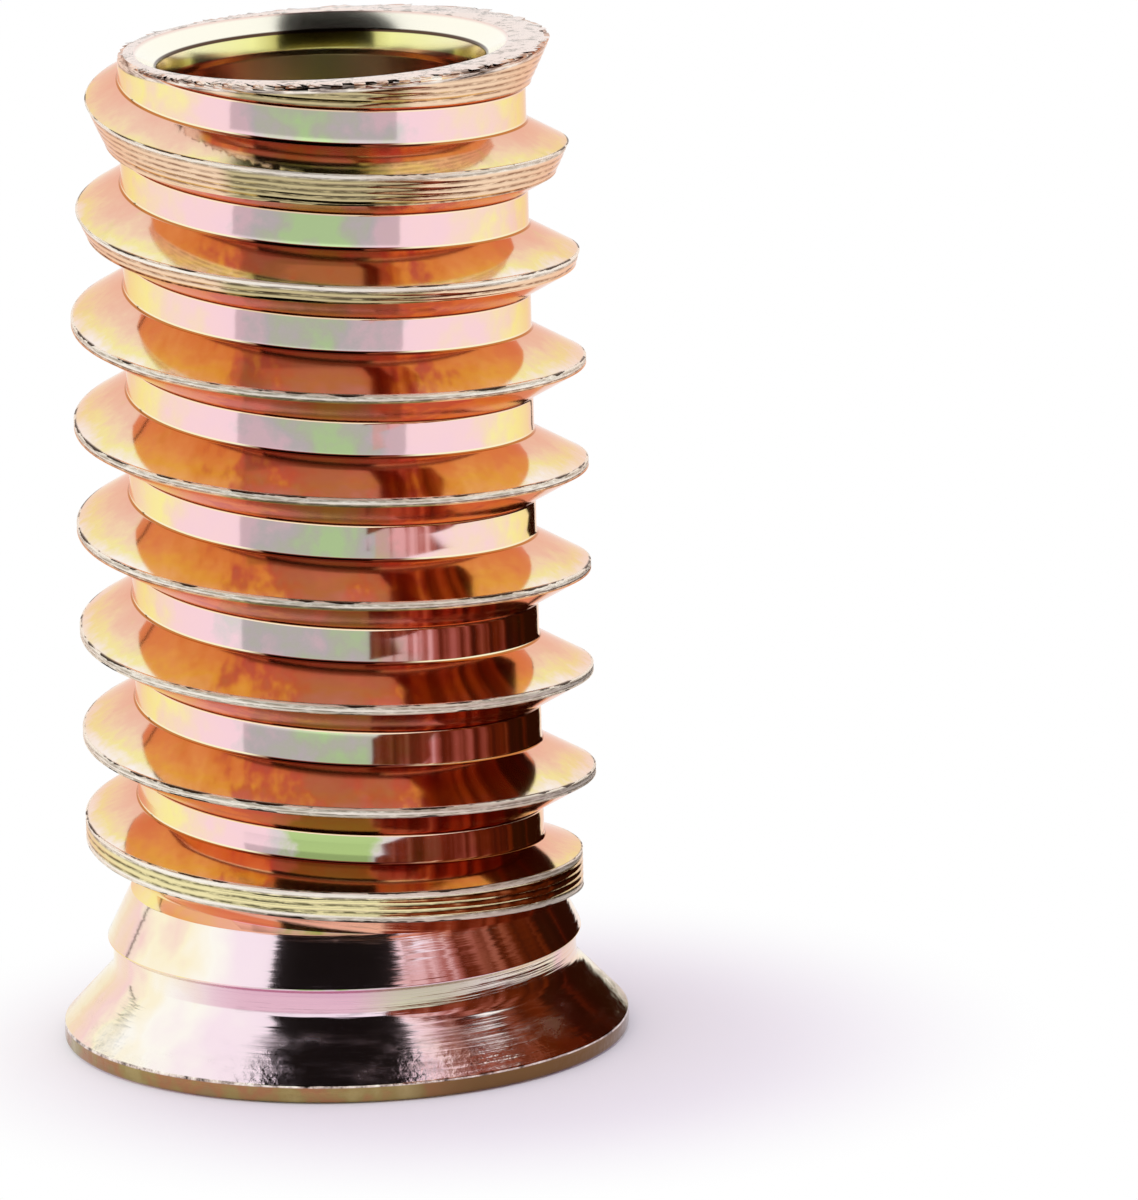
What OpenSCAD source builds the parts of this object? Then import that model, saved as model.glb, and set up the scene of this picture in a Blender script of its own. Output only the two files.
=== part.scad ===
// Threaded insert for wood: a sleeve with a coarse outer thread, a flange and a hexagon socket.
// Sizes are millimetres. The flange face lies on z = 0 about the origin and the tip points along +Z.

/* [Sleeve] */
// Length over all, from the flange face to the highest edge of the tip face
length = 25.5; // [20:0.5:40]
// How much the tip face rises from its back edge to its front edge, because it isn't cut quite square
tip_rise = 0.5; // [0:0.1:1]
// Diameter of the plain core between the turns of the outer thread
core_d = 10.1; // [9.9:0.05:10.8]

/* [Bore] */
// Diameter of the through bore, measured at the crests of its fine metric thread
bore_d = 6.65; // [5:0.05:7.4]
// Diameter of the plain counterbore at the tip
counterbore_d = 8.2; // [7.6:0.1:8.8]
// Depth of the plain counterbore below the tip face
counterbore_depth = 2.6; // [1:0.1:5]
// Height of the cone that leads from the counterbore down to the bore
bore_lead = 0.6; // [0.3:0.1:1.5]
// Diameter of the countersunk mouth at the tip face
mouth_d = 9.3; // [8.9:0.05:9.6]
// Depth of the countersunk mouth
mouth_depth = 0.4; // [0.2:0.05:0.8]

/* [Hexagon socket] */
// Width across the flats of the socket
hex_flats = 8.2; // [7.6:0.1:8.5]
// Depth of the socket from the flange face to its floor
hex_depth = 3.4; // [2:0.1:5]
// Height of the cone that leads from the socket floor to the bore
floor_lead = 0.5; // [0.3:0.1:1.5]
// Diameter of the conical lip where the socket opens on the flange face
lip_d = 8.9; // [8.6:0.05:9.4]
// Depth of the conical lip
lip_depth = 0.4; // [0.2:0.05:0.8]

/* [Flange] */
// Diameter of the flange
flange_d = 14.1; // [13:0.1:16]
// Bevel on the edge of the flange face
face_bevel = 0.1; // [0.05:0.01:0.15]
// Height of the straight rim of the flange
rim_h = 0.45; // [0.3:0.05:1]
// Height of the cone between the rim and the neck
cone_h = 1.27; // [0.8:0.01:2.5]
// Diameter of the neck between the flange and the collar
neck_d = 11.56; // [11:0.02:11.7]
// Radius of the fillet that blends the cone into the neck
neck_fillet = 0.6; // [0.2:0.05:0.6]
// Height of the neck, with its fillet
neck_h = 0.83; // [0.7:0.01:1.5]

/* [Collar] */
// Diameter of the collar at its lower edge
collar_d = 11.84; // [11.8:0.02:12.4]
// Height of the bevel under the lower edge of the collar
collar_bevel = 0.1; // [0.05:0.01:0.2]
// Height of the collar from its lower edge up to the core
collar_h = 1.3; // [1:0.1:2.5]
// Diameter of the collar at its upper end
collar_top_d = 10.6; // [10.2:0.05:11]

/* [Outer thread] */
// Diameter over the crests of the outer thread
thread_d = 12.77; // [12.4:0.01:14]
// Rise of the outer thread in one turn
pitch = 2.63; // [2.2:0.01:3.2]
// Angle between the two flanks of the outer thread, in degrees
flank_angle = 60; // [40:1:64]
// Width of the flat on the crest
crest_w = 0.18; // [0.1:0.01:0.3]
// Hand of the outer thread, as pictured the left hand
thread_hand = -1; // [-1:2:1]
// Diameter of the tapered lead-in where it meets the tip face
lead_tip_d = 11.5; // [11:0.05:11.8]
// Diameter at which the steep part of the lead-in ends
lead_mid_d = 12.2; // [11.9:0.05:12.3]
// Length of the steep part of the lead-in, from the tip face
lead_mid_h = 2.5; // [1:0.1:4]
// Length of the whole lead-in, from the tip face
lead_h = 6.4; // [4.5:0.1:9]
// How far the crest of the lead-in falls away below its upper edge, in radius for each unit of height
lead_fall = 0.45; // [0:0.05:0.6]
// Turns over which the outer thread runs out into the collar
runout_turns = 1.1; // [0.6:0.05:2]
// How much the crest of the last turn grows on its upper side
last_swell = 0.4; // [0:0.05:0.5]

/* [Hidden] */
$fn = 96;
plated = "#C9A667";

core_r = core_d / 2;
crest_r = thread_d / 2;
flange_r = flange_d / 2;
neck_r = neck_d / 2;
neck_z = rim_h + cone_h;
collar_z = neck_z + neck_h;
collar_top_z = collar_z + collar_h;

// Height of the lowest edge of the tip face, its lean, and the side it rises to
tip_z = length - tip_rise;
lean_r = (core_r + lead_tip_d / 2) / 2;
lean = atan(tip_rise / 2 / lean_r);
lean_side = -70;

// How far a cut runs past a face
past = 1;

// Stations in one turn of the thread, and the height of one step between them
stations = 60;
step_h = pitch / stations;

// The thread starts half a turn above the tip face, where the whole tooth is faced off,
// and ends level with the lower edge of the collar
first = -floor(stations / 2);
last = ceil((tip_z - collar_z) / step_h);
count = last - first;

// The run-out falls slowly at first, and leaves a trace of the tooth at its end
runout_power = 1.8;
least_tooth = 0.01;

// The falling crest blends into the full thread over this much radius
fall_blend = 0.15;

// The last turn starts to swell this many turns before the end, over this many turns,
// and its root rises by this share of what its crest does
swell_turns = 1.55;
swell_blend = 0.6;
swell_root = 0.33;

// Half width of the tooth at radius r
function half_w(r) = crest_w / 2 + (crest_r - r) * tan(flank_angle / 2);

// Height of the middle of the tooth at station i
function tooth_z(i) = tip_z - (first + i) * step_h;

// Radius that the tapered lead-in leaves at height z
function lead_r(z) = lookup(tip_z - z, [
    [0, lead_tip_d / 2],
    [lead_mid_h, lead_mid_d / 2],
    [lead_h, crest_r]
]);

// Radius that the run-out leaves at station i
function runout_r(i) = crest_r - (crest_r - core_r - least_tooth)
    * pow(max(0, 1 - (count - i) / stations / runout_turns), runout_power);

// Radius of the upper edge of the crest that the lead-in leaves at station i
function led_r(i) = lead_r(tooth_z(i) + half_w(lead_r(tooth_z(i))));

// Radius of the lower edge, where the crest falls away from an upper edge of radius r
function fallen_r(r) =
    let(
        fall = lead_fall * min(1, (crest_r - r) / fall_blend),
        slant = tan(flank_angle / 2)
    )
        max(
            core_r + least_tooth,
            (r - fall * (half_w(r) + crest_w / 2 + crest_r * slant)) / (1 - fall * slant)
        );

// How far the swelling of the last turn has grown at station i, from 0 to 1
function swelling(i) =
    let(grown = min(1, max(0, (swell_turns - (count - i) / stations) / swell_blend)))
        grown * grown * (3 - 2 * grown);

// How much higher the swelling puts the upper flank at station i and radius r
function lift(i, r) =
    last_swell * swelling(i) * (swell_root + (1 - swell_root) * (r - core_r) / (crest_r - core_r));

// Point at station i: the middle of the tooth crosses the tip face on the +X side
function at(i, r, z) =
    let(a = -thread_hand * 360 * (first + i) / stations) [r * cos(a), r * sin(a), z];

// Section of the tooth at station i: lower root, lower edge, upper edge and upper root
function section(i) =
    let(
        high = min(runout_r(i), led_r(i)),
        low = min(runout_r(i), fallen_r(led_r(i)))
    ) [
        at(i, core_r, tooth_z(i) - half_w(core_r)),
        at(i, low, tooth_z(i) - half_w(low)),
        at(i, high, tooth_z(i) + half_w(high) + lift(i, high)),
        at(i, core_r, tooth_z(i) + half_w(core_r) + lift(i, core_r))
    ];

function strip(low, low_next, high, high_next) = [[low, low_next, high], [high, low_next, high_next]];

// Core and coarse tooth as one skin: the tooth winds down the core, and a strip of plain core
// joins the lower root of each turn to the upper root of the next
module threaded_core() {
    ring_r = core_r - least_tooth;
    top_z = tooth_z(0) + half_w(core_r) + step_h;
    bottom_z = tooth_z(count) - half_w(core_r) - step_h;
    points = concat(
        [for (i = [0:count], p = section(i)) p],
        [for (i = [0:stations - 1]) at(i, ring_r, top_z)],
        [for (i = [0:stations - 1]) at(count + i, ring_r, bottom_z)]
    );
    top = 4 * (count + 1);
    bottom = top + stations;
    faces = [
        for (i = [0:count - 1], k = [0:2])
            each strip(4 * i + k, 4 * i + 4 + k, 4 * i + k + 1, 4 * i + k + 5),
        for (i = [0:count - stations - 1])
            let(below = 4 * (i + stations) + 3)
                each strip(below, below + 4, 4 * i, 4 * i + 4),
        for (i = [0:stations - 1])
            each strip(4 * i + 3, 4 * i + 7, top + i, top + (i + 1) % stations),
        for (i = [0:stations - 1])
            let(above = 4 * (count - stations + i))
                each strip(bottom + i, bottom + (i + 1) % stations, above, above + 4),
        for (pair = [[4 * stations + 3, 0], [0, 1], [1, 2], [2, 3]])
            [top, pair[0], pair[1]],
        for (pair = [[4 * (count - stations), 4 * count + 3], [4 * count + 3, 4 * count + 2],
                     [4 * count + 2, 4 * count + 1], [4 * count + 1, 4 * count]])
            [bottom, pair[0], pair[1]],
        [for (i = [0:stations - 1]) top + i],
        [for (i = [stations - 1:-1:0]) bottom + i]
    ];
    polyhedron(
        points = points,
        faces = thread_hand > 0 ? faces : [for (f = faces) [for (k = [len(f) - 1:-1:0]) f[k]]]
    );
}

// Arc of the fillet that blends the cone into the neck, from the cone upwards
function neck_arc() = let(
    turn = 90 - atan2(cone_h, flange_r - neck_r),
    steps = 5,
    middle_z = neck_z + neck_fillet * tan(turn / 2)
) [
    for (k = [steps:-1:0])
        let(a = 180 + turn * k / steps)
            [neck_r + neck_fillet * (1 + cos(a)), middle_z + neck_fillet * sin(a)]
];

// Turned foot: flange, cone, neck and collar, closed inside the core above the collar
module foot() {
    inside = core_r - collar_bevel;
    rotate_extrude()
        polygon(concat(
            [
                [0, 0],
                [flange_r - face_bevel, 0],
                [flange_r, face_bevel],
                [flange_r, rim_h]
            ],
            neck_arc(),
            [
                [neck_r, collar_z - collar_bevel],
                [collar_d / 2, collar_z],
                [collar_top_d / 2, collar_top_z],
                [inside, collar_top_z + collar_top_d / 2 - inside],
                [0, collar_top_z + collar_top_d / 2 - inside]
            ]
        ));
}

// Puts what is made on z = 0 on the leaning tip face
module on_tip_face() {
    translate([0, 0, tip_z + tip_rise / 2])
        rotate([0, -lean, lean_side])
            children();
}

// What is cut from the tip: facing, countersunk mouth, counterbore and through bore
module tip_cuts() {
    slope = (mouth_d - counterbore_d) / mouth_depth;
    below = 0.1;
    translate([0, 0, length])
        cylinder(h = 2 * pitch, d = thread_d + past);
    on_tip_face() {
        cylinder(h = 2 * pitch, d = thread_d + past);
        translate([0, 0, -mouth_depth - below])
            cylinder(h = mouth_depth + below, d1 = counterbore_d - slope * below, d2 = mouth_d);
    }
    translate([0, 0, tip_z - counterbore_depth])
        cylinder(h = counterbore_depth + past, d = counterbore_d);
    translate([0, 0, tip_z - counterbore_depth - bore_lead])
        cylinder(h = bore_lead, d1 = bore_d, d2 = counterbore_d);
    translate([0, 0, -past])
        cylinder(h = length + 2 * past, d = bore_d);
}

// Hexagon socket with its conical lip and the cone at its floor
module socket_cuts() {
    translate([0, 0, -past])
        rotate([0, 0, 30])
            cylinder(h = hex_depth + past, d = hex_flats / cos(30), $fn = 6);
    cylinder(h = lip_depth, d1 = lip_d, d2 = hex_flats);
    translate([0, 0, hex_depth])
        cylinder(h = floor_lead, d1 = hex_flats, d2 = bore_d);
}

module threaded_insert() {
    color(plated)
        difference() {
            union() {
                foot();
                threaded_core();
            }
            tip_cuts();
            socket_cuts();
        }
}

threaded_insert();
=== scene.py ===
import math

import bpy
from mathutils import Matrix, Vector, noise


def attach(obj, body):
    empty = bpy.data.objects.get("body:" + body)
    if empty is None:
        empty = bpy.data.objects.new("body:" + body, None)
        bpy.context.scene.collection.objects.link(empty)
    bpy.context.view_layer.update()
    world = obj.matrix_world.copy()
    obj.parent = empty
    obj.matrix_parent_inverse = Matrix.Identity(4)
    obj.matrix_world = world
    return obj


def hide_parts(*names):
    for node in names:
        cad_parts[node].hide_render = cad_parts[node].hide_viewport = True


# Threaded insert for wood: steel, zinc plated and yellow passivated, standing on its flange.
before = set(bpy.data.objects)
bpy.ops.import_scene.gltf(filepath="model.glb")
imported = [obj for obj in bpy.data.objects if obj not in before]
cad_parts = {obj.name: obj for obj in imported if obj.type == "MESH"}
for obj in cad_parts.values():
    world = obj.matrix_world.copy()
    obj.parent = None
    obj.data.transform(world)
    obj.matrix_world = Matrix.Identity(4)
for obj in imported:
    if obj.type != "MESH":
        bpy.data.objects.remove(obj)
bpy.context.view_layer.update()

MM = 0.001

# Sizes in millimetres, as in the part's source: R is a radius, Z a height above the flange face.
# The tip face leans, from TIP_Z at the back to LENGTH in front.
LENGTH = 25.5
TIP_RISE = 0.5
TIP_Z = LENGTH - TIP_RISE
TIP_MIDDLE_Z = TIP_Z + TIP_RISE / 2
LEAN_R = 5.4
LEAN = TIP_RISE / 2 / LEAN_R
LEAN_SIDE = math.radians(-70)
CORE_R = 5.05
CREST_R = 6.385
PITCH = 2.63
CREST_W = 0.18
FLANK = math.tan(math.radians(30))
LEAD_IN = [(0.0, 5.75), (2.5, 6.1), (6.4, CREST_R)]
LEAD_FALL = 0.45
LAST_TURN = 8.55
RUN_OUT_TURNS = 1.1
LAST_SWELL = 0.4
ROOT_FILLET = 0.13
TIP_ROUNDING = 0.22
# Details of the crests: rolled grooves on wide ones, a seam on narrow ones, and a slight crown
GROOVE_PITCH = 0.17
GROOVE_DEPTH = 0.016
SEAM_DEPTH = 0.014
CROWN = 0.022

BORE_R = 3.325
BORE_THREAD_R = 4.0
BORE_PITCH = 1.25
# The cutter for the bore's thread ends inside the socket and inside the counterbore
BORE_CUT_Z = (2.5, 23.0)
BORE_CONE_Z = 21.8
COUNTERBORE_R = 4.1
COUNTERBORE_Z = 22.4
RING_Z = 24.22
MOUTH_R = 4.65
MOUTH_Z = 24.6
FLANGE_R = 7.05
RIM_Z = 0.45
NECK_R = 5.78
NECK_Z = 1.8
COLLAR_R = 5.92
COLLAR_Z = 2.58
COLLAR_TOP_Z = 3.85
# The sleeve and the foot reach this far into each other
SLEEVE_Z = 3.0
FOOT_Z = 4.2
HEX_FLATS = 8.2
HEX_DEPTH = 3.4
LIP_R = 4.45

# Drawn points across a crest, steps in a turn, the angle from which an edge stays sharp, and what
# is marked on each point of the thread
CREST_ROWS = 27
THREAD_STEPS = 120
BORE_STEPS = 96
TURNED_STEPS = 192
SHARP_ANGLE = math.radians(32)
MARKS = ("crest", "lip", "groove", "under", "across", "root", "edge")


def only(piece):
    """Select this piece alone and make it the active one."""
    bpy.ops.object.select_all(action="DESELECT")
    piece.select_set(True)
    bpy.context.view_layer.objects.active = piece


def drawn(name, points):
    """Draw a line through points (radius, height), one extrusion after another."""
    bpy.ops.object.select_all(action="DESELECT")
    bpy.ops.mesh.primitive_plane_add(size=MM, location=(0, 0, 0))
    line = bpy.context.object
    line.name = name
    bpy.ops.object.mode_set(mode="EDIT")
    bpy.ops.mesh.merge(type="CENTER")
    here = Vector((0, 0, 0))
    for count, (r, z) in enumerate(points):
        there = Vector((r * MM, 0, z * MM))
        if count == 0:
            bpy.ops.transform.translate(value=there - here)
        else:
            bpy.ops.mesh.extrude_region_move(TRANSFORM_OT_translate={"value": there - here})
        here = there
    bpy.ops.object.mode_set(mode="OBJECT")
    return line


def applied(piece, kind, **settings):
    """Give the piece one modifier and apply it."""
    only(piece)
    modifier = piece.modifiers.new(kind.lower(), kind)
    for key, value in settings.items():
        setattr(modifier, key, value)
    bpy.ops.object.modifier_apply(modifier=modifier.name)


def swept(line, steps, turns=1, rise=0.0):
    """Turn the drawn line about the upright axis, rising so many millimetres a turn."""
    applied(
        line, "SCREW", axis="Z", angle=2 * math.pi, steps=steps, render_steps=steps,
        iterations=turns, screw_offset=rise * MM,
        use_merge_vertices=not rise, merge_threshold=1e-7,
    )


def sealed(piece):
    """Join what lies together and turn every face outwards."""
    only(piece)
    bpy.ops.object.mode_set(mode="EDIT")
    bpy.ops.mesh.select_all(action="SELECT")
    bpy.ops.mesh.remove_doubles(threshold=1e-6)
    bpy.ops.mesh.normals_make_consistent(inside=False)
    bpy.ops.object.mode_set(mode="OBJECT")


def above_tip(x, y):
    """How much higher than its low edge the leaning tip face stands here."""
    along = x * math.cos(LEAN_SIDE) + y * math.sin(LEAN_SIDE)
    return TIP_RISE / 2 * (1 + along / LEAN_R)


def sliced(piece, height, keep=None, leaning=False):
    """Cut the piece at this height, and close it there if only one side is kept."""
    lean = LEAN if leaning else 0
    upright = (-lean * math.cos(LEAN_SIDE), -lean * math.sin(LEAN_SIDE), 1)
    only(piece)
    bpy.ops.object.mode_set(mode="EDIT")
    bpy.ops.mesh.select_all(action="SELECT")
    bpy.ops.mesh.bisect(
        plane_co=(0, 0, height * MM), plane_no=upright, threshold=1e-8,
        use_fill=keep is not None, clear_inner=keep == "above", clear_outer=keep == "below",
    )
    bpy.ops.mesh.select_all(action="SELECT")
    bpy.ops.mesh.delete_loose()
    bpy.ops.object.mode_set(mode="OBJECT")


def joined(piece, other, how):
    """Unite with, or take away, another closed piece, which is used up."""
    applied(piece, "BOOLEAN", object=other, operation=how, solver="MANIFOLD")
    bpy.data.objects.remove(other, do_unlink=True)


def rounded(corners):
    """Line through corners (radius, height, rounding), each turned on an arc of four steps."""
    points = []
    for i, (r, z, rounding) in enumerate(corners):
        here = Vector((r, z))
        if not rounding:
            points.append((r, z))
            continue
        to_last = (Vector(corners[i - 1][:2]) - here).normalized()
        to_next = (Vector(corners[i + 1][:2]) - here).normalized()
        half = to_last.angle(to_next) / 2
        middle = here + (to_last + to_next).normalized() * (rounding / math.sin(half))
        start = here + to_last * (rounding / math.tan(half)) - middle
        end = here + to_next * (rounding / math.tan(half)) - middle
        for k in range(5):
            spot = middle + start.slerp(end, k / 4) * rounding
            points.append((spot.x, spot.y))
    return points


def half_width(r):
    """Half the width of the tooth at this radius."""
    return CREST_W / 2 + (CREST_R - r) * FLANK


def lead_in(z):
    """Radius that the taper at the tip leaves at this height."""
    depth = TIP_Z - z
    if depth <= 0:
        return LEAD_IN[0][1]
    for (d0, r0), (d1, r1) in zip(LEAD_IN, LEAD_IN[1:]):
        if depth < d1:
            return r0 + (r1 - r0) * (depth - d0) / (d1 - d0)
    return CREST_R


def run_out(turn):
    """Radius that the run-out into the collar leaves."""
    share = min(1, max(0, 1 - (LAST_TURN - turn) / RUN_OUT_TURNS))
    return CREST_R - (CREST_R - CORE_R - 0.01) * share ** 1.8


def fallen(r):
    """Radius of the crest's lower edge, where the lead-in's crest falls away from the upper one."""
    fall = LEAD_FALL * min(1, (CREST_R - r) / 0.15)
    edge = (r - fall * (half_width(r) + CREST_W / 2 + CREST_R * FLANK)) / (1 - fall * FLANK)
    return max(CORE_R + 0.01, edge)


def lift(turn, r):
    """How much higher the swelling of the last turn puts the upper flank at this radius."""
    grown = min(1, max(0, (1.55 - LAST_TURN + turn) / 0.6))
    share = 0.33 + 0.67 * (r - CORE_R) / (CREST_R - CORE_R)
    return LAST_SWELL * grown * grown * (3 - 2 * grown) * share


def half_section(edge, lift_of):
    """From the land beside the tooth to the edge of its crest, as heights off its middle."""
    fillet = min(ROOT_FILLET, 1.5 * (edge - CORE_R))
    root = half_width(CORE_R)
    land_middle = (PITCH / 2 + root + fillet * FLANK) / 2
    points = [(CORE_R, PITCH / 2), (CORE_R, land_middle + lift_of(CORE_R))]
    for k in range(5):
        bend = math.radians(15 * k)
        r = CORE_R + fillet * (1 - math.cos(bend))
        points.append((r, root + fillet * (FLANK - math.sin(bend)) + lift_of(r)))
    foot_r = points[-1][0]
    for share in (0.25, 0.5, 0.75, 0.94, 0.97, 1):
        r = foot_r + (edge - foot_r) * share
        points.append((r, half_width(r) + lift_of(r)))
    return points


def groove_at(height, spot):
    """How deep the grooves run on a wide crest, from 0 to 1, at this height off its middle."""
    drift = 1.5 * noise.noise(spot * 0.5)
    return (0.5 + 0.5 * math.sin(2 * math.pi * height / GROOVE_PITCH + drift)) ** 2


def seam_at(s, width):
    """How deep the seam lies that the rolling leaves along a narrow crest, from 0 to 1."""
    if width > 0.3:
        return 0.0
    return max(0.0, 1 - ((s - 0.3) / 0.14) ** 2)


def section(turn):
    """Points of one pitch of the outer thread, from the land below the tooth to the one above."""
    middle = TIP_Z - PITCH * turn
    angle = 2 * math.pi * turn
    led = lead_in(middle + half_width(lead_in(middle)))
    left = run_out(turn)
    low = [(r, middle - z) for r, z in half_section(min(left, fallen(led)), lambda r: 0)]
    high = [(r, middle + z) for r, z in half_section(min(left, led), lambda r: lift(turn, r))]
    (r0, z0), (r1, z1) = low[-1], high[-1]
    width = z1 - z0
    depth = max(0.0, min(1.0, (width - 0.22) / 0.2)) * GROOVE_DEPTH
    crest = []
    for k in range(1, CREST_ROWS - 1):
        s = k / (CREST_ROWS - 1)
        r = r0 + (r1 - r0) * s
        z = z0 + (z1 - z0) * s
        spot = Vector((math.cos(angle), math.sin(angle), 0)) * r + Vector((0, 0, z))
        # Handling has worn the crest down by up to a fiftieth of a millimetre
        worn = noise.noise(spot * 1.3) * 0.012 + noise.noise(spot * 5.0) * 0.006
        crown = CROWN * (1 - abs(2 * s - 1) ** 4)
        groove = depth * groove_at(z - middle, spot)
        seam = SEAM_DEPTH * seam_at(s, width)
        crest.append((r - CROWN + crown - groove - seam + min(0, worn), z))
    return low + crest + high[::-1]


def threaded_sleeve():
    """Sleeve with the coarse left-hand thread: one section swept down the core."""
    # The thread starts a turn above the tip face and is cut off there, and again inside the foot
    turns = 10
    first = -1
    start = section(first)
    rows = len(start)
    sleeve = drawn("threaded_insert_plated", start)
    # The corners of a drawn line aren't numbered in their order along it
    order = []
    for v in sleeve.data.vertices:
        spot = Vector((v.co.x, v.co.z)) / MM
        order.append(min(range(rows), key=lambda k: (Vector(start[k]) - spot).length))
    swept(sleeve, THREAD_STEPS, turns, -PITCH)
    # Points before the crest begins, on either side
    side_rows = (rows - CREST_ROWS + 2) // 2 - 1
    for name in MARKS:
        sleeve.data.attributes.new(name, "FLOAT", "POINT")
    crest, lip, groove, under, across, root, edge = [
        sleeve.data.attributes[name].data for name in MARKS
    ]
    for step in range(THREAD_STEPS * turns + 1):
        turn = first + step / THREAD_STEPS
        angle = 2 * math.pi * turn
        points = section(turn)
        top = points[-1 - side_rows][1]
        bottom = points[side_rows][1]
        for place, k in enumerate(order):
            r, z = points[k]
            index = step * rows + place
            if side_rows <= k < rows - side_rows:
                crest[index].value = 1.0
                spot = Vector((r * math.cos(angle), r * math.sin(angle), z))
                seam = seam_at((k - side_rows + 1) / (CREST_ROWS - 1), top - bottom)
                groove[index].value = max(seam, groove_at(z - TIP_Z + PITCH * turn, spot))
            if side_rows - 1 <= k <= rows - side_rows:
                # The lip takes in the outermost row of each flank, and near the tip it is only
                # at the crest's upper edge
                from_edge = min(top - z, z - bottom) if turn > 5 else top - z
                lip[index].value = 1.0 - max(0.0, min(1.0, (from_edge - 0.1) / 0.05))
                across[index].value = z - TIP_Z + PITCH * turn
                edge[index].value = min(top - z, z - bottom)
            under[index].value = float(k < side_rows)
            root[index].value = max(0, min(1, (min(k, rows - 1 - k) - 2) / 4))
            sleeve.data.vertices[index].co = (
                r * math.cos(angle) * MM,
                r * math.sin(angle) * MM,
                z * MM,
            )
    sealed(sleeve)
    sliced(sleeve, SLEEVE_Z, keep="above")
    # The edge of the tip face is rounded over, at these depths below the face
    below = (0.15, 0.09, 0.045, 0.015)
    for depth in below:
        sliced(sleeve, TIP_MIDDLE_Z - depth, leaning=True)
    sliced(sleeve, TIP_MIDDLE_Z, keep="below", leaning=True)
    for v in sleeve.data.vertices:
        x, y, z = v.co / MM
        depth = TIP_Z + above_tip(x, y) - z
        for level in below + (0,):
            if abs(depth - level) < 5e-5:
                inset = TIP_ROUNDING - math.sqrt(TIP_ROUNDING ** 2 - (TIP_ROUNDING - level) ** 2)
                v.co.xy *= 1 - inset / math.hypot(x, y)
                v.co.z = min(v.co.z, LENGTH * MM)
    return sleeve


def turned(name, corners):
    """Closed piece turned about the axis from a line of corners."""
    piece = drawn(name, rounded(corners))
    swept(piece, TURNED_STEPS)
    sealed(piece)
    return piece


def foot():
    """Flange, cone, neck and collar."""
    return turned("foot", [
        (0, 0, 0),
        (FLANGE_R, 0, 0.1),
        (FLANGE_R, RIM_Z, 0.07),
        (NECK_R, NECK_Z, 0.6),
        (NECK_R, 2.48, 0.05),
        (COLLAR_R, COLLAR_Z, 0.04),
        (5.3, COLLAR_TOP_Z, 0.1),
        (4.95, FOOT_Z, 0),
        (0, FOOT_Z, 0),
    ])


def bore_thread():
    """Cutter for the fine right-hand machine thread of the bore."""
    flat = BORE_PITCH / 8
    foot_z = flat / 2 + (BORE_THREAD_R - BORE_R) * FLANK
    half = [
        (BORE_R, BORE_PITCH / 2),
        (BORE_R, foot_z + 0.05),
        (BORE_R + 0.02, foot_z + 0.01),
        (BORE_R + 0.08, foot_z - 0.08 * FLANK),
        (BORE_THREAD_R - 0.08, flat / 2 + 0.08 * FLANK),
        (BORE_THREAD_R - 0.02, flat / 2 - 0.01),
        (BORE_THREAD_R, 0),
    ]
    points = [(r, -z) for r, z in half] + half[-2::-1]
    start_z = 1.0
    turns = 19
    cutter = drawn("bore_thread", [(r, z + start_z) for r, z in points])
    swept(cutter, BORE_STEPS, turns, BORE_PITCH)
    sealed(cutter)
    sliced(cutter, BORE_CUT_Z[0], keep="above")
    sliced(cutter, BORE_CUT_Z[1], keep="below")
    sealed(cutter)
    return cutter


def tip_bore():
    """Cutter for the countersunk mouth, the counterbore and the cone down to the thread."""
    cutter = turned("tip_bore", [
        (0, BORE_CONE_Z, 0),
        (BORE_R, BORE_CONE_Z, 0),
        (COUNTERBORE_R, COUNTERBORE_Z, 0.1),
        (COUNTERBORE_R, 24.05, 0.08),
        (COUNTERBORE_R - 0.1, RING_Z, 0.04),
        (COUNTERBORE_R, MOUTH_Z, 0.02),
        (MOUTH_R, TIP_Z - 0.015, 0.05),
        (MOUTH_R + 0.2, TIP_Z + 0.02, 0),
        (MOUTH_R + 0.2, TIP_Z + 0.7, 0),
        (0, TIP_Z + 0.7, 0),
    ])
    # The mouth leans with the tip face
    for v in cutter.data.vertices:
        x, y, z = v.co / MM
        if z > RING_Z + 0.08:
            v.co.z += above_tip(x, y) * MM
    return cutter


def socket():
    """Cutter for the hexagon socket, its conical lip and the cone at its floor."""
    bpy.ops.object.select_all(action="DESELECT")
    bpy.ops.mesh.primitive_cylinder_add(
        vertices=6, radius=HEX_FLATS / 2 / math.cos(math.radians(30)) * MM,
        depth=(HEX_DEPTH + 1) * MM, location=(0, 0, (HEX_DEPTH - 1) / 2 * MM),
    )
    hexagon = bpy.context.object
    bpy.ops.object.transform_apply(location=True)
    applied(hexagon, "BEVEL", width=0.06 * MM, segments=3, limit_method="ANGLE")
    lip = turned("lip", [
        (0, -0.5, 0),
        (LIP_R + 0.15, -0.5, 0),
        (LIP_R + 0.15, -0.03, 0),
        (LIP_R, 0.02, 0.05),
        (HEX_FLATS / 2 - 0.05, 0.42, 0),
        (0, 0.42, 0),
    ])
    joined(hexagon, lip, "UNION")
    floor_cone = turned("floor_cone", [
        (0, HEX_DEPTH - 0.5, 0),
        (HEX_FLATS / 2 - 0.02, HEX_DEPTH - 0.5, 0),
        (HEX_FLATS / 2 - 0.02, HEX_DEPTH + 0.01, 0.05),
        (BORE_R, 3.9, 0),
        (0, 3.9, 0),
    ])
    joined(hexagon, floor_cone, "UNION")
    return hexagon


def insert():
    """The whole insert, one piece."""
    piece = threaded_sleeve()
    joined(piece, foot(), "UNION")
    joined(piece, bore_thread(), "DIFFERENCE")
    joined(piece, tip_bore(), "DIFFERENCE")
    joined(piece, socket(), "DIFFERENCE")
    only(piece)
    bpy.ops.object.shade_smooth_by_angle(angle=SHARP_ANGLE)
    return piece


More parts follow.
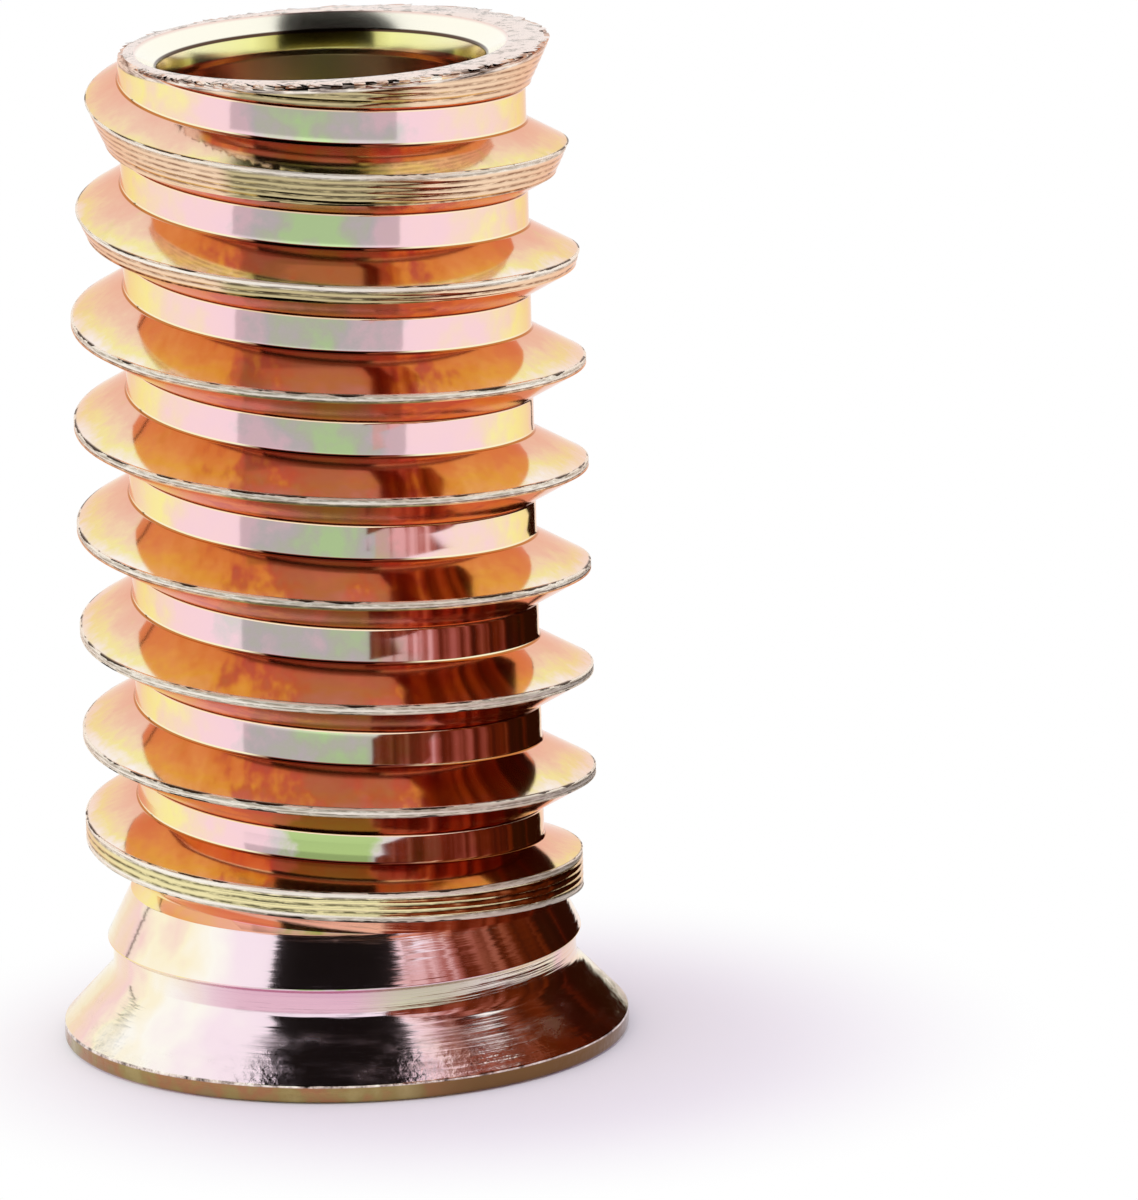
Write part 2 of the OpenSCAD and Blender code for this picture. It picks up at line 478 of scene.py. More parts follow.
def colour(code):
    """Linear colour of an sRGB hex value."""
    parts = [int(code[i:i + 2], 16) / 255 for i in (1, 3, 5)]
    linear = [c / 12.92 if c <= 0.04045 else ((c + 0.055) / 1.055) ** 2.4 for c in parts]
    return (*linear, 1.0)


def feed(tree, node, inputs):
    """Set or link these inputs of a node."""
    for key, value in inputs.items():
        if isinstance(value, bpy.types.NodeSocket):
            tree.links.new(value, node.inputs[key])
        else:
            node.inputs[key].default_value = value


def add(tree, kind, inputs=None, stops=None, **settings):
    """Add one node with its settings, its values and its links."""
    node = tree.nodes.new(kind)
    for key, value in settings.items():
        setattr(node, key, value)
    feed(tree, node, inputs or {})
    for count, (place, code) in enumerate(stops or []):
        ramp = node.color_ramp.elements
        stop = ramp[count] if count < 2 else ramp.new(place)
        stop.position = place
        stop.color = colour(code)
    return node


def millimetres(tree):
    """Object coordinates in millimetres."""
    where = add(tree, "ShaderNodeTexCoord").outputs["Object"]
    scale = (1 / MM, 1 / MM, 1 / MM)
    return add(tree, "ShaderNodeVectorMath", {0: where, 1: scale}, operation="MULTIPLY").outputs[0]


def new_finish(name):
    """An empty material, its shader and its object coordinates in millimetres."""
    finish = bpy.data.materials.new(name)
    finish.use_nodes = True
    tree = finish.node_tree
    shader = tree.nodes["Principled BSDF"]
    return finish, tree, shader, millimetres(tree)


# Passivation film: the chromate skin is a few hundred nanometres thick, and its thickness
# decides the tint. Its rainbow sheen, which shifts with the angle the metal is seen at, is painted
# into the colour by how far round from front or back a place lies: round the sleeve the painted
# sheen runs from green at front and back through pink to straw yellow at the sides.
LAND_FILM = [
    (0.0, "#D0EAAE"), (0.09, "#D5D5BF"), (0.17, "#DCCFCF"), (0.27, "#F8D2DA"), (0.46, "#FAD4D6"),
    (0.6, "#F9DCC0"), (0.74, "#FBEF9E"), (0.88, "#FBEDB0"), (1.0, "#FAE6C8"),
]
# On the upper flanks it runs from gold at the root of the tooth out to yellow and pale pink; the gold
# at the root is painted sheen, for the tint's shift where the flank mirrors the land and lower flank
FLANK_FILM = [
    (0.0, "#EEBCA8"), (0.3, "#F0C8B0"), (0.5, "#F4DAB4"), (0.7, "#F5EAA4"), (0.86, "#F8ECD0"),
    (1.0, "#FBF4EC"),
]
# On the lower flanks the painted sheen is a darker red-brown at front and back and orange at the sides
UNDER_FILM = [
    (0.0, "#BF7464"), (0.1, "#BF7360"), (0.24, "#C76554"), (0.38, "#E29652"), (0.7, "#ECAC6B"),
    (1.0, "#E8A070"),
]
# On the turned foot the painted sheen is mostly pale pink, with straw yellow at the sides
FOOT_FILM = [
    (0.0, "#F6DEEC"), (0.3, "#F8E4EC"), (0.5, "#FDF8EE"), (0.62, "#FCF0D0"), (0.74, "#F6CFC8"),
    (0.9, "#F3D2A8"), (1.0, "#F4E0B0"),
]
# On the rim of the flange it is olive and brown
RIM_FILM = [
    (0.3, "#BDAE78"), (0.45, "#A4925C"), (0.55, "#AE7E58"), (0.7, "#9C8E62"),
]
# In the counterbore the painted sheen is olive at front and back and red-brown at the sides
BORE_FILM = [
    (0.0, "#F6F59C"), (0.2, "#F8EEA4"), (0.38, "#ECBC8C"), (0.6, "#E09484"), (1.0, "#ECB4A4"),
]
# On the narrow ring under the countersunk mouth the painted sheen is olive at the back and straw at the
# sides
RING_FILM = [
    (0.0, "#8A7A30"), (0.12, "#A89A40"), (0.28, "#F4F2A0"), (0.6, "#F8F4C4"), (0.9, "#F4C8D0"),
]
# The worn edge of the tip face is streaked grey and cream
EDGE_WEAR = [
    (0.34, "#2A221C"), (0.42, "#9C8C84"), (0.52, "#E8D8CC"), (0.64, "#FFF8EC"),
]
# On the flange face it lies in broad patches of every tint
FACE_FILM = [
    (0.0, "#C9C68A"), (0.2, "#E3C884"), (0.4, "#E2A98A"), (0.55, "#D793A8"), (0.75, "#C99BC0"),
    (1.0, "#A9B59A"),
]

# A place in millimetres times this gives its height with the lean of the tip face taken off
LEANING = (-LEAN * math.cos(LEAN_SIDE), -LEAN * math.sin(LEAN_SIDE), 1)


def places(tree, where):
    """How far round from front or back, 0 to 1 at the sides, then radius and height in mm."""
    axes = add(tree, "ShaderNodeSeparateXYZ", {0: where}).outputs
    angle = add(tree, "ShaderNodeMath", {0: axes["Y"], 1: axes["X"]}, operation="ARCTAN2")
    angle = add(tree, "ShaderNodeMath", {0: angle.outputs[0]}, operation="ABSOLUTE")
    off = add(tree, "ShaderNodeMath", {0: angle.outputs[0], 1: math.pi / 2}, operation="SUBTRACT")
    share = add(tree, "ShaderNodeMath", {0: off.outputs[0], 1: 2 / math.pi}, operation="MULTIPLY")
    share = add(tree, "ShaderNodeMath", {0: share.outputs[0]}, operation="ABSOLUTE")
    flat = add(tree, "ShaderNodeVectorMath", {0: where, 1: (1, 1, 0)}, operation="MULTIPLY")
    radius = add(tree, "ShaderNodeVectorMath", {0: flat.outputs[0]}, operation="LENGTH")
    return share.outputs[0], radius.outputs["Value"], axes["Z"]


def patchy(tree, where, value, size, amount):
    """The value, raised and lowered by this amount in soft patches of this size in millimetres."""
    soft = add(tree, "ShaderNodeTexNoise", {"Vector": where, "Scale": 1 / size, "Detail": 3.0})
    shift = add(tree, "ShaderNodeMapRange", {
        "Value": soft.outputs[0], "From Min": 0.3, "From Max": 0.7, "To Min": -amount, "To Max": amount,
    })
    return add(tree, "ShaderNodeMath", {0: value, 1: shift.outputs[0]}, operation="ADD").outputs[0]


def blended(tree, value, start, end, first, second):
    """The first colour up to the start, the second from the end on, and a soft step between."""
    step = add(
        tree, "ShaderNodeMapRange", {"Value": value, "From Min": start, "From Max": end},
        interpolation_type="SMOOTHSTEP",
    ).outputs[0]
    return add(tree, "ShaderNodeMix", {0: step, 6: first, 7: second}, data_type="RGBA").outputs[2]


def plated_thread():
    """Zinc plated and yellow passivated rolled steel: bright, with a soft rainbow skin."""
    finish, tree, shader, where = new_finish("yellow_passivated_zinc_rolled")
    share, radius, height = places(tree, where)
    crest, lip, groove, under, across, root, edge = [
        add(tree, "ShaderNodeAttribute", attribute_name=name).outputs["Fac"] for name in MARKS
    ]
    # The lands' painted sheen, by how far round from front or back they lie
    level = patchy(tree, where, share, 2.6, 0.17)
    level = patchy(tree, where, level, 0.5, 0.06)
    land = add(tree, "ShaderNodeValToRGB", {0: level}, stops=LAND_FILM).outputs[0]
    # The painted sheen on the lands near the foot is greener at front and back
    green = blended(tree, level, 0.14, 0.04, land, colour("#AEC67E"))
    land = blended(tree, height, 9, 5.5, land, green)
    # The upper flanks' painted sheen, gold at the root where the flank mirrors its neighbours
    out = add(tree, "ShaderNodeMapRange", {"Value": radius, "From Min": CORE_R, "From Max": CREST_R})
    out = patchy(tree, where, out.outputs[0], 1.2, 0.16)
    out = patchy(tree, where, out, 0.25, 0.08)
    upper = add(tree, "ShaderNodeValToRGB", {0: out}, stops=FLANK_FILM).outputs[0]
    # At front and back the painted sheen is olive in places, most of all near the tip
    olive = add(
        tree, "ShaderNodeMapRange", {"Value": share, "From Min": 0.24, "From Max": 0.08},
        interpolation_type="SMOOTHSTEP",
    ).outputs[0]
    olive = patchy(tree, where, olive, 0.9, 0.7)
    olive = blended(tree, olive, 0.3, 1.1, upper, colour("#DED694"))
    near_tip = add(tree, "ShaderNodeMapRange", {
        "Value": height, "From Min": 19.0, "From Max": 21.5, "To Min": 0.35,
    }).outputs[0]
    upper = add(tree, "ShaderNodeMix", {0: near_tip, 6: upper, 7: olive}, data_type="RGBA").outputs[2]
    # The lower flanks' painted sheen, by how far round from front or back they lie
    round_it = patchy(tree, where, share, 1.0, 0.16)
    round_it = patchy(tree, where, round_it, 0.3, 0.08)
    lower = add(tree, "ShaderNodeValToRGB", {0: round_it}, stops=UNDER_FILM).outputs[0]
    lower = blended(tree, height, 5.0, 4.2, lower, colour("#F2D2AC"))
    flank = add(tree, "ShaderNodeMix", {0: under, 6: upper, 7: lower}, data_type="RGBA").outputs[2]
    # In the root fillets a painted highlight, a thin bright line, runs beside a painted shade line,
    # except at the bottom of the lands at front and back, where both are painted dark. Where the
    # thread runs out there are none.
    painted_inner_line = blended(tree, share, 0.2, 0.3, colour("#7A3A30"), colour("#FDF3CC"))
    painted_inner_line = add(
        tree, "ShaderNodeMix", {0: under, 6: painted_inner_line, 7: colour("#FFE6C8")}, data_type="RGBA",
    ).outputs[2]
    outer = blended(tree, share, 0.3, 0.4, colour("#8A4A30"), colour("#C47C40"))
    outer = add(
        tree, "ShaderNodeMix", {0: under, 6: outer, 7: colour("#7A3620")}, data_type="RGBA",
    ).outputs[2]
    fillet = blended(tree, root, 0.32, 0.42, painted_inner_line, outer)
    fillet = blended(tree, height, 4.4, 4.0, fillet, flank)
    flank = blended(tree, root, 0.75, 0.95, fillet, flank)
    tint = blended(tree, root, 0.02, 0.1, land, flank)
    # The wide crests carry grooves, whose bottoms are painted dark as shade, darkest at front and back,
    # and the lips are worn to bare zinc, with streaks of painted groove shade, 0.4 mm long and 0.06 mm
    # high, and dark pits
    flat = add(tree, "ShaderNodeVectorMath", {0: where, 1: (2.6, 2.6, 0)}, operation="MULTIPLY")
    rise = add(tree, "ShaderNodeMath", {0: across, 1: 16.0}, operation="MULTIPLY").outputs[0]
    rise = add(tree, "ShaderNodeCombineXYZ", {2: rise}).outputs[0]
    along = add(tree, "ShaderNodeVectorMath", {0: flat.outputs[0], 1: rise}, operation="ADD").outputs[0]
    streak = add(tree, "ShaderNodeTexNoise", {
        "Vector": along, "Scale": 1.0, "Detail": 5.0, "Roughness": 0.65,
    }).outputs[0]
    deep = add(
        tree, "ShaderNodeMapRange", {"Value": streak, "From Min": 0.3, "From Max": 0.6},
        interpolation_type="SMOOTHSTEP",
    ).outputs[0]
    deep = add(tree, "ShaderNodeMath", {0: deep, 1: groove}, operation="MULTIPLY").outputs[0]
    # Painted shade in the groove bottoms: pale on the ridges, dark in the grooves, darkest at front and
    # back
    pale = blended(tree, share, 0.24, 0.3, colour("#C8B88C"), colour("#F8D8B8"))
    pale = blended(tree, height, 6.5, 5.5, pale, colour("#F2E6B0"))
    dark = blended(tree, share, 0.24, 0.3, colour("#3E2E1A"), colour("#7E5038"))
    dark = blended(tree, height, 6.5, 5.5, dark, colour("#4E4826"))
    painted_groove_shade = add(tree, "ShaderNodeMix", {0: deep, 6: pale, 7: dark}, data_type="RGBA").outputs[2]
    tint = add(tree, "ShaderNodeMix", {0: crest, 6: tint, 7: painted_groove_shade}, data_type="RGBA").outputs[2]
    # On the lips too the grooves are painted darker as shade
    worn = add(
        tree, "ShaderNodeMix", {0: deep, 6: colour("#FFFAEC"), 7: colour("#A89C88")}, data_type="RGBA",
    ).outputs[2]
    # Ragged dark lines follow the edges of the lip: dark pits, and painted shade along the edge
    edge = patchy(tree, along, edge, 1.0, 0.022)
    edge = patchy(tree, where, edge, 1.1, 0.045)
    worn = blended(tree, edge, -0.01, -0.022, worn, colour("#2E2419"))
    tint = add(tree, "ShaderNodeMix", {0: lip, 6: tint, 7: worn}, data_type="RGBA").outputs[2]
    # The edge of the tip face is rubbed too
    squashed = add(tree, "ShaderNodeVectorMath", {0: where, 1: (0.9, 0.9, 9.0)}, operation="MULTIPLY")
    rubbed = add(tree, "ShaderNodeTexNoise", {
        "Vector": squashed.outputs[0], "Scale": 1.0, "Detail": 5.0, "Roughness": 0.7,
    }).outputs[0]
    rubbed = add(tree, "ShaderNodeValToRGB", {0: rubbed}, stops=EDGE_WEAR).outputs[0]
    level = add(tree, "ShaderNodeVectorMath", {0: where, 1: LEANING}, operation="DOT_PRODUCT")
    tint = blended(
        tree, level.outputs["Value"], TIP_MIDDLE_Z - 0.26, TIP_MIDDLE_Z - 0.2, tint, rubbed,
    )
    dull = add(tree, "ShaderNodeMapRange", {"Value": lip, "To Min": 0.09, "To Max": 0.3}).outputs[0]
    bare = add(tree, "ShaderNodeMapRange", {"Value": lip, "To Min": 1.0, "To Max": 0.6}).outputs[0]
    rough = add(tree, "ShaderNodeMath", {0: streak, 1: lip}, operation="MULTIPLY").outputs[0]
    relief = add(tree, "ShaderNodeBump", {"Height": rough, "Distance": 0.02 * MM, "Strength": 1.0})
    # The specular tint keeps the film's warmth where it is seen at a flat angle
    feed(tree, shader, {
        "Base Color": tint, "Metallic": bare, "Roughness": dull, "Normal": relief.outputs[0],
        "Specular Tint": colour("#F9DACB"),
    })
    return finish


def plated_foot():
    """The same plating on the turned collar, cone and rim, with the fine rings of the tool."""
    finish, tree, shader, where = new_finish("yellow_passivated_zinc_turned")
    share, _, height = places(tree, where)
    # The foot's painted sheen, by how far round from front or back it lies
    level = patchy(tree, where, share, 2.2, 0.15)
    turned_film = add(tree, "ShaderNodeValToRGB", {0: level}, stops=FOOT_FILM).outputs[0]
    # The neck is pink on one side and straw on the other
    side = add(tree, "ShaderNodeSeparateXYZ", {0: where}).outputs["X"]
    neck = blended(tree, side, 0.0, 1.6, colour("#E2B6C6"), colour("#D0CAB0"))
    neck = blended(tree, share, 0.25, 0.6, neck, turned_film)
    tint = blended(tree, height, NECK_Z + 0.13, NECK_Z + 0.19, turned_film, neck)
    tint = blended(tree, height, COLLAR_Z - 0.04, COLLAR_Z + 0.02, tint, turned_film)
    # The rim is olive with browner patches, painted a darker brown on the +x side as shade, and its
    # upper edge is worn
    blot = add(tree, "ShaderNodeTexNoise", {"Vector": where, "Scale": 0.9, "Detail": 4.0}).outputs[0]
    rim = add(tree, "ShaderNodeValToRGB", {0: blot}, stops=RIM_FILM).outputs[0]
    rim = blended(tree, side, 0.5, 3.5, rim, colour("#80603E"))
    worn = add(tree, "ShaderNodeTexNoise", {
        "Vector": where, "Scale": 3.0, "Detail": 5.0, "Roughness": 0.7,
    }).outputs[0]
    worn = add(tree, "ShaderNodeValToRGB", {0: worn}, stops=EDGE_WEAR).outputs[0]
    rim = blended(tree, height, RIM_Z - 0.07, RIM_Z - 0.05, rim, worn)
    tint = blended(tree, height, RIM_Z + 0.03, RIM_Z, tint, rim)
    # The cone is duller in patches that follow the tool marks
    smear = add(tree, "ShaderNodeVectorMath", {0: where, 1: (0.7, 0.7, 2.6)}, operation="MULTIPLY")
    smear = add(tree, "ShaderNodeTexNoise", {
        "Vector": smear.outputs[0], "Scale": 1.0, "Detail": 6.0, "Roughness": 0.65,
    }).outputs[0]
    smear = add(
        tree, "ShaderNodeMapRange", {"Value": smear, "From Min": 0.4, "From Max": 0.75},
        interpolation_type="SMOOTHSTEP",
    ).outputs[0]
    dull = add(
        tree, "ShaderNodeMapRange", {"Value": height, "From Min": NECK_Z - 0.05, "From Max": 1.3},
        interpolation_type="SMOOTHSTEP",
    ).outputs[0]
    dull = add(tree, "ShaderNodeMath", {0: smear, 1: dull}, operation="MULTIPLY").outputs[0]
    dull = add(tree, "ShaderNodeMapRange", {"Value": dull, "To Min": 0.1, "To Max": 0.32}).outputs[0]
    # The tool's rings are finer than this on the real one; at 0.11 mm they show
    rings = add(tree, "ShaderNodeVectorMath", {0: where, 1: (0.2, 0.2, 9.0)}, operation="MULTIPLY")
    rings = add(tree, "ShaderNodeTexNoise", {
        "Vector": rings.outputs[0], "Scale": 1.0, "Detail": 3.0,
    }).outputs[0]
    # The lower half of the cone is rougher, with grit of 0.2 mm
    grit = add(tree, "ShaderNodeTexNoise", {"Vector": where, "Scale": 5.0, "Detail": 4.0}).outputs[0]
    rough = add(
        tree, "ShaderNodeMapRange", {"Value": height, "From Min": 1.3, "From Max": 0.7},
        interpolation_type="SMOOTHSTEP",
    ).outputs[0]
    grit = add(tree, "ShaderNodeMath", {0: grit, 1: rough}, operation="MULTIPLY").outputs[0]
    rings = add(tree, "ShaderNodeMath", {0: rings, 1: grit}, operation="ADD").outputs[0]
    relief = add(tree, "ShaderNodeBump", {"Height": rings, "Distance": 0.012 * MM, "Strength": 1.0})
    feed(tree, shader, {
        "Base Color": tint, "Metallic": 1.0, "Roughness": dull, "Normal": relief.outputs[0],
    })
    return finish


def plated_bore():
    """The same plating in the bore, thin and greyer where the bath hardly reaches."""
    finish, tree, shader, where = new_finish("yellow_passivated_zinc_bore")
    share, radius, height = places(tree, where)
    # The counterbore's painted sheen, by how far round from front or back it lies
    film = patchy(tree, where, share, 1.5, 0.1)
    tint = add(tree, "ShaderNodeValToRGB", {0: film}, stops=BORE_FILM).outputs[0]
    tint = blended(tree, height, COUNTERBORE_Z + 0.2, BORE_CONE_Z, tint, colour("#B6A8AE"))
    level = add(
        tree, "ShaderNodeVectorMath", {0: where, 1: LEANING}, operation="DOT_PRODUCT",
    ).outputs["Value"]
    # The ring's painted sheen, by how far round from front or back it lies
    ring = add(tree, "ShaderNodeValToRGB", {0: share}, stops=RING_FILM).outputs[0]
    tint = blended(tree, level, MOUTH_Z - 0.2, MOUTH_Z - 0.14, tint, ring)
    # A dark line parts the ring from the countersunk mouth, which is cream and then pink
    tint = blended(tree, level, MOUTH_Z + 0.19, MOUTH_Z + 0.22, tint, colour("#5A4436"))
    tint = blended(tree, level, MOUTH_Z + 0.27, MOUTH_Z + 0.3, tint, colour("#FFFCEC"))
    tint = blended(tree, radius, MOUTH_R - 0.1, MOUTH_R + 0.01, tint, colour("#F0CFC6"))
    feed(tree, shader, {"Base Color": tint, "Metallic": 1.0, "Roughness": 0.14})
    return finish


def plated_face():
    """The same plating on the flange face and the tip face, mottled in broad patches."""
    finish, tree, shader, where = new_finish("yellow_passivated_zinc_face")
    share, _, height = places(tree, where)
    level = patchy(tree, where, share, 3.0, 0.35)
    level = patchy(tree, where, level, 0.4, 0.08)
    tint = add(tree, "ShaderNodeValToRGB", {0: level}, stops=FACE_FILM).outputs[0]
    # The tip face is speckled, every 0.3 mm
    speckle = add(tree, "ShaderNodeTexNoise", {
        "Vector": where, "Scale": 3.0, "Detail": 5.0, "Roughness": 0.7,
    }).outputs[0]
    tip = blended(tree, speckle, 0.5, 0.62, colour("#F2DED4"), colour("#A8988C"))
    tint = blended(tree, height, 20, 21, tint, tip)
    grit = add(tree, "ShaderNodeTexNoise", {
        "Vector": where, "Scale": 4.0, "Detail": 5.0, "Roughness": 0.7,
    }).outputs[0]
    relief = add(tree, "ShaderNodeBump", {"Height": grit, "Distance": 0.01 * MM, "Strength": 1.0})
    feed(tree, shader, {
        "Base Color": tint, "Metallic": 1.0, "Roughness": 0.2, "Normal": relief.outputs[0],
    })
    return finish


# The finishes' places in the insert's list of materials
THREAD, FOOT, BORE, FACE = range(4)


def finished(piece):
    """Give each part of the insert its finish, by where it lies."""
    piece.data.materials.clear()
    for finish in (plated_thread(), plated_foot(), plated_bore(), plated_face()):
        piece.data.materials.append(finish)
    for face in piece.data.polygons:
        middle = face.center / MM
        r = middle.xy.length
        outward = face.normal.xy.dot(middle.xy) > 0
        tip = TIP_Z + above_tip(middle.x, middle.y)
        at_end = middle.z < 0.02 or middle.z > tip - 0.02
        on_collar = middle.z < COLLAR_TOP_Z + 0.05 and r < COLLAR_R + 0.01
        if at_end and abs(face.normal.z) > 0.9:
            face.material_index = FACE
        elif (r < MOUTH_R + 0.03 and not outward) or r < COUNTERBORE_R:
            face.material_index = BORE
        elif middle.z < COLLAR_Z + 0.01 or (on_collar and 0.3 < face.normal.z < 0.6):
            face.material_index = FOOT
        else:
            face.material_index = THREAD


# Where the insert's shadow lies on the paper, and how far it fades, in metres
SHADOW_MIDDLE = (0.003, -0.002, 0)
SHADOW_REACH = (0.0065, 0.015)
# How far the arched cards are from the insert, in metres, and the parts each stretch is cut into
ARCH_R = 0.4
ARCH_PARTS = 8


def studio():
    """White paper floor and white room."""
    bpy.ops.object.select_all(action="DESELECT")
    bpy.ops.mesh.primitive_plane_add(size=1.6, location=(0, 0.2, -0.00002))
    ground = bpy.context.object
    bpy.ops.object.transform_apply(location=True)
    ground.name = "floor"
    paper = bpy.data.materials.new("white_paper")
    paper.use_nodes = True
    tree = paper.node_tree
    shader = tree.nodes["Principled BSDF"]
    # The paper's faint lilac shows only near the insert, where it is a painted tint that turns the
    # shadow violet
    feed(tree, shader, {
        "Base Color": colour("#F9F3FF"), "Roughness": 1.0, "Specular IOR Level": 0.0,
    })
    # Away from the insert's shadow the paper is as white as the room
    where = add(tree, "ShaderNodeTexCoord").outputs["Object"]
    far = add(
        tree, "ShaderNodeVectorMath", {0: where, 1: SHADOW_MIDDLE}, operation="DISTANCE",
    ).outputs["Value"]
    far = add(
        tree, "ShaderNodeMapRange",
        {"Value": far, "From Min": SHADOW_REACH[0], "From Max": SHADOW_REACH[1]},
        interpolation_type="SMOOTHSTEP",
    ).outputs[0]
    ray = add(tree, "ShaderNodeLightPath")
    seen = add(tree, "ShaderNodeMath", {
        0: ray.outputs["Is Camera Ray"], 1: ray.outputs["Is Glossy Ray"],
    }, operation="MAXIMUM").outputs[0]
    seen = add(tree, "ShaderNodeMath", {
        0: seen, 1: ray.outputs["Is Transmission Ray"],
    }, operation="MAXIMUM").outputs[0]
    far = add(tree, "ShaderNodeMath", {0: far, 1: seen}, operation="MULTIPLY").outputs[0]
    white = add(tree, "ShaderNodeEmission", {"Color": (1, 1, 1, 1), "Strength": 1.0}).outputs[0]
    mix = add(tree, "ShaderNodeMixShader", {0: far, 1: shader.outputs[0], 2: white})
    tree.links.new(mix.outputs[0], tree.nodes["Material Output"].inputs["Surface"])
    ground.data.materials.append(paper)

    room = bpy.data.worlds.new("white_room")
    bpy.context.scene.world = room
    room.use_nodes = True
    room.node_tree.nodes["Background"].inputs["Color"].default_value = (1, 1, 1, 1)


def arch_card(name, codes, outline, **paint):
    """Card bent over the insert from front to back, between outline points, with ragged sides.

    Each point gives how far up the arch it lies in degrees, and its left and right edge.
    """
    points = []
    rows = []
    for (rise0, *edges0), (rise1, *edges1) in zip(outline, outline[1:]):
        for k in range(ARCH_PARTS):
            edges = [a + (b - a) * k / ARCH_PARTS for a, b in zip(edges0, edges1)]
            rise = rise0 + (rise1 - rise0) * k / ARCH_PARTS
            rags = [0.02 * noise.noise(Vector((rise * 0.9, 7 * side, 0))) for side in range(2)]
            rows.append((rise, edges[0] + rags[0], edges[1] + rags[1]))
    for rise, left, right in rows:
        for k in range(ARCH_PARTS + 1):
            x = left + (right - left) * k / ARCH_PARTS
            level = math.sqrt(1 - x * x)
            points.append((
                ARCH_R * x,
                -ARCH_R * level * math.cos(math.radians(rise)),
                ARCH_R * level * math.sin(math.radians(rise)) + 0.012,
            ))
    row = ARCH_PARTS + 1
    faces = [
        (row * i + k, row * i + k + 1, row * i + k + row + 1, row * i + k + row)
        for i in range(len(rows) - 1) for k in range(ARCH_PARTS)
    ]
    hidden_card(name, codes, points, faces, **paint)


def floor_card(name, codes, azimuth, reach, height):
    """Grey card lying in front of the insert, just outside the picture."""
    count = 24
    points = []
    for i in range(count + 1):
        a = math.radians(azimuth[0] + (azimuth[1] - azimuth[0]) * i / count)
        for r in reach:
            points.append((r * MM * math.sin(a), -r * MM * math.cos(a), height * MM))
    faces = [(2 * i, 2 * i + 2, 2 * i + 3, 2 * i + 1) for i in range(count)]
    hidden_card(name, codes, points, faces)


def upright_card(name, codes, places_mm, **paint):
    """Card standing on the floor along a line of places, each with the card's height there."""
    points = []
    for x, y, high in places_mm:
        points += [(x * MM, y * MM, 0), (x * MM, y * MM, high * MM)]
    faces = [(2 * i, 2 * i + 2, 2 * i + 3, 2 * i + 1) for i in range(len(places_mm) - 1)]
    hidden_card(name, codes, points, faces, **paint)


def hidden_card(
    name, codes, points, faces, grain=(0.7, 0.7, 0.06), middle=(0, 0, 0), slant=(0, 0, 0),
):
    """Card in one tone, or streaked in several, that only the metal mirrors.

    The grain is the fineness of the streaks, the middle a place in millimetres that has the middle
    tone, and the slant how fast the tone rises from there for each millimetre along each axis.
    """
    mesh = bpy.data.meshes.new(name)
    mesh.from_pydata(points, [], faces)
    piece = bpy.data.objects.new(name, mesh)
    bpy.context.collection.objects.link(piece)
    paint = bpy.data.materials.new(name + "_paint")
    paint.use_nodes = True
    tree = paint.node_tree
    where = millimetres(tree)
    streaks = add(tree, "ShaderNodeVectorMath", {0: where, 1: grain}, operation="MULTIPLY")
    streaks = add(tree, "ShaderNodeTexNoise", {
        "Vector": streaks.outputs[0], "Scale": 1.0, "Detail": 3.0,
    }).outputs[0]
    off = add(tree, "ShaderNodeVectorMath", {0: where, 1: middle}, operation="SUBTRACT").outputs[0]
    level = add(tree, "ShaderNodeVectorMath", {0: off, 1: slant}, operation="DOT_PRODUCT")
    level = add(
        tree, "ShaderNodeMath", {0: streaks, 1: level.outputs["Value"]}, operation="ADD",
    ).outputs[0]
    if len(codes) == 1:
        codes = codes * 2
    stops = [(0.2 + 0.6 * i / (len(codes) - 1), code) for i, code in enumerate(codes)]
    tone = add(tree, "ShaderNodeValToRGB", {0: level}, stops=stops).outputs[0]
    glow = add(tree, "ShaderNodeEmission", {"Color": tone, "Strength": 1.0})
    tree.links.new(glow.outputs[0], tree.nodes["Material Output"].inputs["Surface"])
    piece.data.materials.append(paint)
    piece.visible_camera = False
    piece.visible_diffuse = False
    piece.visible_shadow = False
    piece.visible_transmission = False
    piece.visible_volume_scatter = False


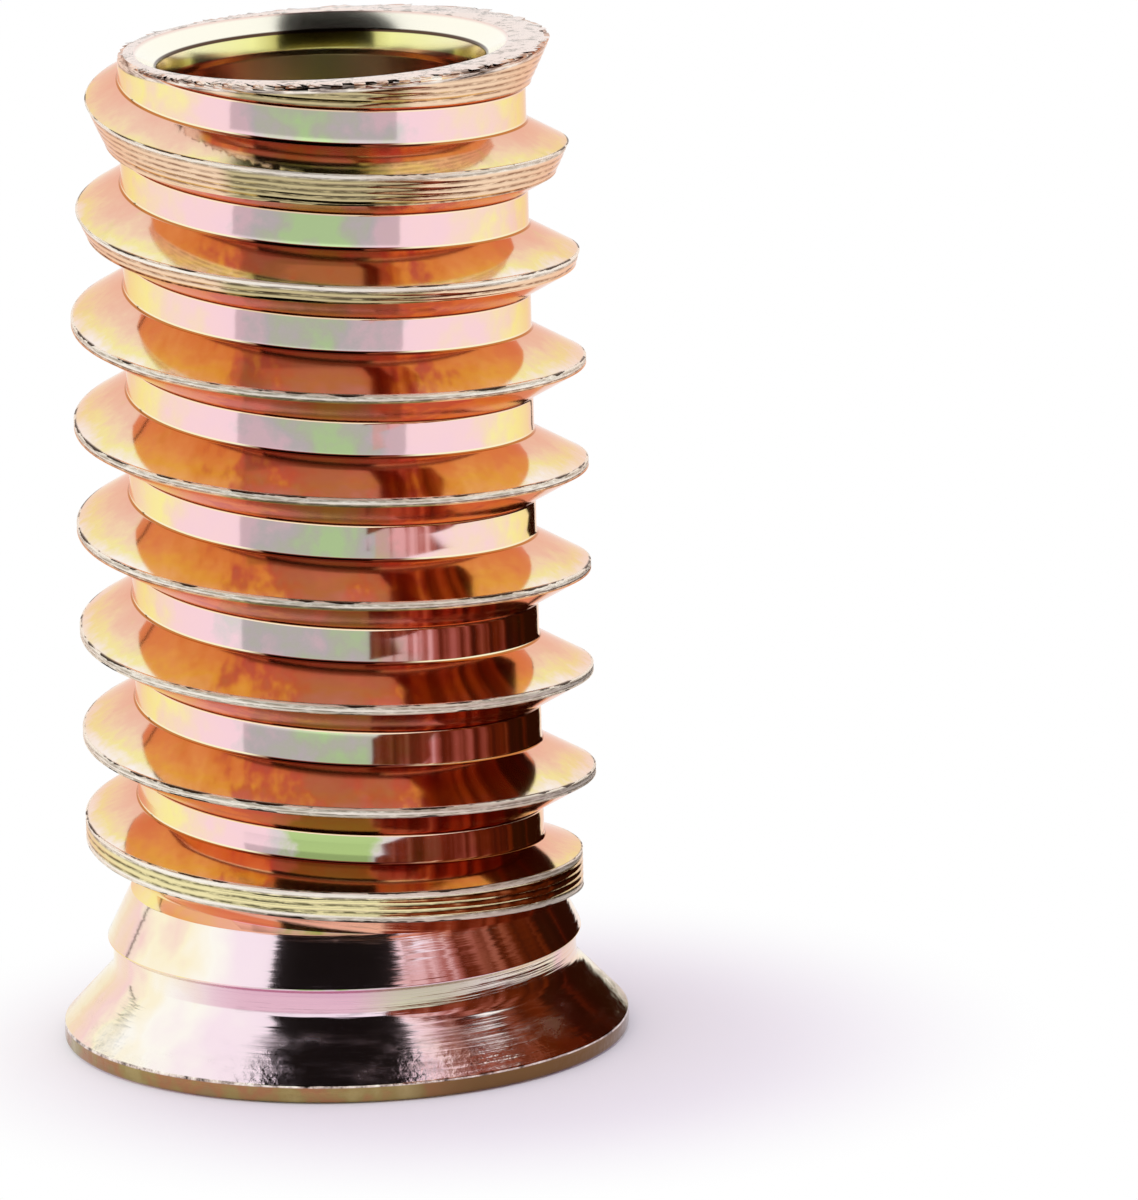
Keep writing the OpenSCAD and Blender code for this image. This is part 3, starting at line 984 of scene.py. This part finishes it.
def camera():
    """Camera at the photograph's angle, a long way off with a long lens."""
    tilt = math.radians(14.28)
    roll = math.radians(-1.41)
    right = Vector((1, 0, 0))
    up = Vector((0, math.sin(tilt), math.cos(tilt)))
    back = Vector((0, -math.cos(tilt), math.sin(tilt)))
    across = right * math.cos(roll) + up * math.sin(roll)
    above = up * math.cos(roll) - right * math.sin(roll)
    lens = bpy.data.cameras.new("camera")
    lens.lens = 722.9
    lens.sensor_width = 36
    lens.clip_end = 10
    eye = bpy.data.objects.new("camera", lens)
    bpy.context.collection.objects.link(eye)
    place = Matrix((across, above, back)).transposed().to_4x4()
    aim = Vector((5.81, 0, 10.91)) * MM
    distance = 0.6
    place.translation = aim + back * distance
    eye.matrix_world = place
    bpy.context.scene.camera = eye


camera()
studio()
# Dark and grey cards stand for the dark parts of the room that the metal mirrors
arch_card("dark_gap", ["#14110F"], [
    (12, -0.61, 0.51), (20, -0.6, 0.5), (35, -0.55, 0.41), (55, -0.45, 0.37), (70, -0.42, 0.35),
    (86, -0.42, 0.34), (94, -0.38, 0.2), (100, -0.46, 0.2), (109, -0.53, 0.1),
])
arch_card(
    "brown_gap", ["#2A0E06", "#4A1A0C", "#7A3A2C", "#B48474", "#F4DCD8", "#FFF4F4"],
    [(30, 0.42, 0.5), (45, 0.39, 0.56), (70, 0.36, 0.74), (92, 0.35, 0.74)],
    grain=(0.06, 0.03, 0.03), middle=(215, 0, 0), slant=(-0.005, 0, 0),
)
floor_card("front_card", ["#D0D0D0"], (-52, 42), (28, 160), 0.3)
upright_card(
    "side_card", ["#2A1006", "#3C1408", "#5F230C", "#94503F", "#B06E62", "#E4C0B8"],
    [(10, -25, 12), (11, -15, 11.5), (11.3, -7, 11), (11.8, -3, 9.9), (13, 30, 9.9)],
    middle=(0, -7, 6.5), slant=(0, -0.03, 0.006),
)
upright_card(
    "low_card", ["#3C1408", "#7A3018", "#A06048"],
    [(9.5, -30, 7), (10.9, -13, 7), (11.1, -9, 4)],
)
upright_card("stand", ["#2A1A10"], [(-300, 238, 260), (-292, 246, 260)])

insert_piece = insert()
finished(insert_piece)
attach(insert_piece, "root")
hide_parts("threaded_insert")

scene = bpy.context.scene
scene.view_settings.view_transform = "Standard"
